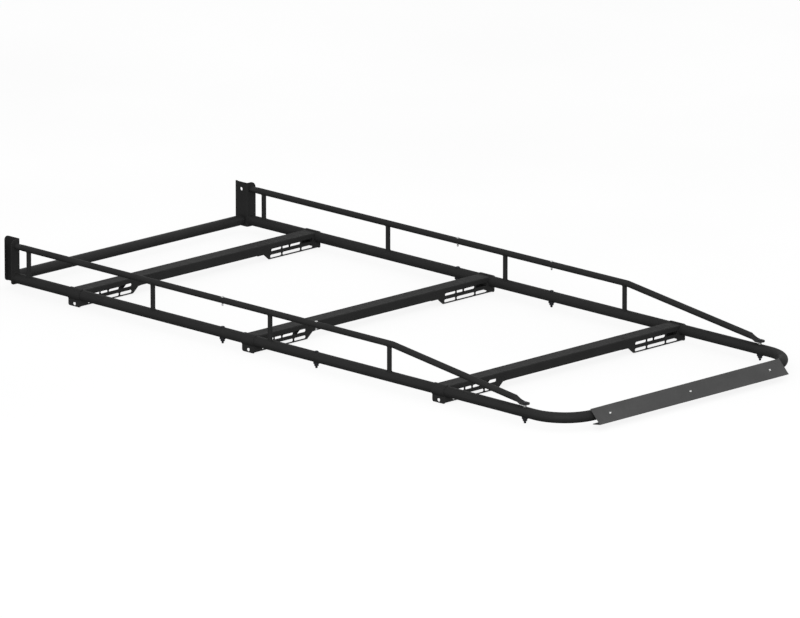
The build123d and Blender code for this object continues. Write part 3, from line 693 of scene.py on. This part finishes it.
def lug_welds():
    """The seam along the front tube under each of the deflector's lugs."""
    bm = bmesh.new()
    out = Vector((1, 0, 1)).normalized()
    down = Vector((1, 0, -1)).normalized()
    for low, high in solids("deflector_lugs"):
        tube = Vector((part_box("front_hoop")[1].x - RAIL_R, 0, RAIL_Z))
        seam = tube + out * (RAIL_R - LUG_INSET) + down * LUG_SEAM_DROP
        left = (seam.x, high.y - LUG_INSET, seam.z)
        right = (seam.x, low.y + LUG_INSET, seam.z)
        path = straight(right, left)
        weld_bead(bm, path, LUG_WELD, closed=False)
    finished(bm, "lug_weld_beads", "black_powder_coat")


post_welds()
plate_welds()
saddle_welds()
bracket_welds()
bar_welds()
lug_welds()
rail_nuts()
rail_bolts()
guard_bolts()
deflector_bolts()
guard_end_bolts()
roller_axles()


# ---------------------------------------------------------------- studio
def studio_floor():
    """A wide pale floor under the lowest points, lit from within like a light table."""
    bm = bmesh.new()
    bmesh.ops.create_circle(bm, cap_ends=True, segments=64, radius=FLOOR_R)
    mesh = bpy.data.meshes.new("studio_floor")
    bm.to_mesh(mesh)
    bm.free()
    floor = bpy.data.objects.new("studio_floor", mesh)
    floor.location.z = cad_box[0][2] - FLOOR_GAP
    bpy.context.scene.collection.objects.link(floor)
    material, tree, shader = start_material("pale_floor")
    shade = spread(tree, noise(tree, 0.6, 3.0), 0.0, 1.0)
    pale = mixed(tree, shade, (0.14, 0.14, 0.14), (0.143, 0.143, 0.143))
    tree.links.new(pale, shader.inputs["Base Color"])
    tree.links.new(pale, shader.inputs["Emission Color"])
    shader.inputs["Emission Strength"].default_value = 6.1
    shader.inputs["Roughness"].default_value = 0.9
    shader.inputs["Specular IOR Level"].default_value = 0.1
    floor.visible_diffuse = False
    floor.visible_glossy = False
    mesh.materials.append(material)


def sky():
    """Soft studio surroundings: even from overhead to the horizon, dim below it, pale to the camera."""
    world = bpy.data.worlds.new("studio")
    bpy.context.scene.world = world
    world.use_nodes = True
    tree = world.node_tree
    background = tree.nodes["Background"]
    place = node(tree, "ShaderNodeTexCoord")
    split = node(tree, "ShaderNodeSeparateXYZ")
    tree.links.new(place.outputs["Generated"], split.inputs[0])
    ramp = node(tree, "ShaderNodeValToRGB")
    stops = ramp.color_ramp.elements
    stops[0].color = (0.06, 0.06, 0.06, 1)
    stops[1].color = (0.60, 0.60, 0.60, 1)
    for z, bright in ((-0.3, 0.30), (0.0, 0.75), (0.42, 0.62)):
        stop = stops.new(0.5 + z / 2)
        stop.color = (bright, bright, bright, 1)
    height = spread(tree, split.outputs["Z"], 0.0, 1.0, start=-1.0, end=1.0)
    tree.links.new(height, ramp.inputs["Fac"])
    seen = node(tree, "ShaderNodeLightPath")
    colour = mixed(tree, seen.outputs["Is Camera Ray"], ramp.outputs["Color"], (1.0, 1.0, 1.0))
    tree.links.new(colour, background.inputs["Color"])


def area_light(name, place, size, power):
    """A square softbox aimed at the rack's middle."""
    data = bpy.data.lights.new(name, "AREA")
    data.shape = "SQUARE"
    data.size = size
    data.energy = power
    light = bpy.data.objects.new(name, data)
    light.location = place
    light.rotation_euler = Vector(place).to_track_quat("Z", "Y").to_euler()
    bpy.context.scene.collection.objects.link(light)


def camera():
    """The camera stands far off with a long lens, as in the photograph."""
    data = bpy.data.cameras.new("camera")
    data.sensor_width = 36.0
    data.lens = LENS
    data.clip_end = 500
    made = bpy.data.objects.new("camera", data)
    level = cos(VIEW_ELEVATION)
    back = Vector((level * sin(VIEW_AZIMUTH), -level * cos(VIEW_AZIMUTH), sin(VIEW_ELEVATION)))
    made.location = Vector(AIM) + back * VIEW_DISTANCE
    turn = back.to_track_quat("Z", "Y").to_matrix().to_4x4() @ Matrix.Rotation(VIEW_ROLL, 4, "Z")
    made.rotation_euler = turn.to_euler()
    bpy.context.scene.collection.objects.link(made)
    bpy.context.scene.camera = made


studio_floor()
sky()
area_light("overhead_softbox", place=(1.5, 1.0, 9.0), size=7.0, power=90)
area_light("front_softbox", place=(8.0, -8.0, 5.2), size=8.0, power=860)
camera()
bpy.context.scene.view_settings.view_transform = "Standard"
